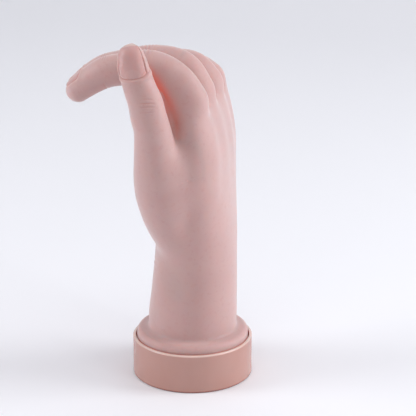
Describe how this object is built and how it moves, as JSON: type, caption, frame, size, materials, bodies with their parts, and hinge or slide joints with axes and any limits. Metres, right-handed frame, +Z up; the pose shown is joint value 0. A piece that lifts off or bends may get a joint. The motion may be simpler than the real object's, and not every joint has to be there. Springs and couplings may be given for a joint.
{
  "type": "prosthetic hand",
  "caption": "Poseable cosmetic hand prosthesis: a soft glove over a hinged inner hand with bending fingers and opening thumb, on a turning cup-shaped wrist unit.",
  "frame": {"origin": "centre of the wrist unit's bottom face, on the wrist's turning axis", "axes": "+Z up along the wrist's turning axis, +X towards the back of the hand, -X towards the palm and fingertips, -Y towards the thumb, +Y towards the little finger"},
  "size_m": [0.1019, 0.0909, 0.2016],
  "materials": {
    "skin": "gloss",
    "foam": "matte",
    "core": "matte",
    "housing": "gloss",
    "bush": "matte",
    "alloy": "satin",
    "steel": "satin",
    "spring_steel": "satin"
  },
  "bodies": {
    "wrist_unit": {"wrist_housing": "housing", "end_cover": "housing", "cover_screws": "steel", "bearing_bush": "bush", "friction_ring": "bush"},
    "hand": {"mounting_stud": "steel", "retaining_ring": "spring_steel", "wave_washer": "spring_steel", "wrist_hub": "alloy", "wrist_post": "alloy", "hub_screws": "steel", "frame_screws": "steel", "hand_frame": "alloy", "thumb_bracket": "alloy", "knuckle_shaft": "steel", "shaft_clips": "spring_steel", "thumb_pivot_pin": "steel", "palm_core_front": "foam", "palm_core_back": "foam", "thumb_ball_pad": "foam", "glove_hand": "skin", "glove_knuckles": "skin", "glove_thumb_base": "skin"},
    "fingers": {"index_core": "core", "middle_core": "core", "ring_core": "core", "little_core": "core", "index_pin": "steel", "middle_pin": "steel", "ring_pin": "steel", "little_pin": "steel", "glove_index_joint": "skin", "glove_middle_joint": "skin", "glove_ring_joint": "skin", "glove_little_joint": "skin"},
    "thumb": {"thumb_core": "core", "thumb_pin": "steel", "glove_thumb_joint": "skin"},
    "thumb_tip": {"thumb_tip_core": "core", "glove_thumb_tip": "skin"},
    "index_tip": {"index_tip_core": "core", "glove_index_tip": "skin"},
    "middle_tip": {"middle_tip_core": "core", "glove_middle_tip": "skin"},
    "ring_tip": {"ring_tip_core": "core", "glove_ring_tip": "skin"},
    "little_tip": {"little_tip_core": "core", "glove_little_tip": "skin"}
  },
  "joints": [
    {"name": "wrist_turn", "type": "hinge", "parent": "wrist_unit", "child": "hand", "pos_m": [0, 0, 0.012], "axis": [0, 0, 1], "continuous": true},
    {"name": "finger_bend", "type": "hinge", "parent": "hand", "child": "fingers", "pos_m": [0.005, 0, 0.169], "axis": [0, -1, 0], "range_deg": [-40, 20], "deforming": ["glove_knuckles"]},
    {"name": "thumb_open", "type": "hinge", "parent": "hand", "child": "thumb", "pos_m": [-0.0118, -0.0384, 0.141], "axis": [1, 0, 0], "range_deg": [0, 30], "stiffness_Nm_per_rad": 0.25, "springref_deg": -11.46, "deforming": ["glove_thumb_base"]},
    {"name": "thumb_tip_bend", "type": "hinge", "parent": "thumb", "child": "thumb_tip", "pos_m": [-0.0148, -0.0462, 0.1715], "axis": [1, 0, 0], "range_deg": [0, 22], "deforming": ["glove_thumb_joint"]},
    {"name": "index_tip_bend", "type": "hinge", "parent": "fingers", "child": "index_tip", "pos_m": [-0.018, -0.028, 0.186], "axis": [0, -1, 0], "range_deg": [-35, 35], "deforming": ["glove_index_joint"]},
    {"name": "middle_tip_bend", "type": "hinge", "parent": "fingers", "child": "middle_tip", "pos_m": [-0.021, -0.0095, 0.1836], "axis": [0, -1, 0], "range_deg": [-35, 35], "deforming": ["glove_middle_joint"]},
    {"name": "ring_tip_bend", "type": "hinge", "parent": "fingers", "child": "ring_tip", "pos_m": [-0.019, 0.009, 0.1782], "axis": [0, -1, 0], "range_deg": [-35, 35], "deforming": ["glove_ring_joint"]},
    {"name": "little_tip_bend", "type": "hinge", "parent": "fingers", "child": "little_tip", "pos_m": [-0.0135, 0.0263, 0.1728], "axis": [0, -1, 0], "range_deg": [-35, 35], "deforming": ["glove_little_joint"]}
  ]
}
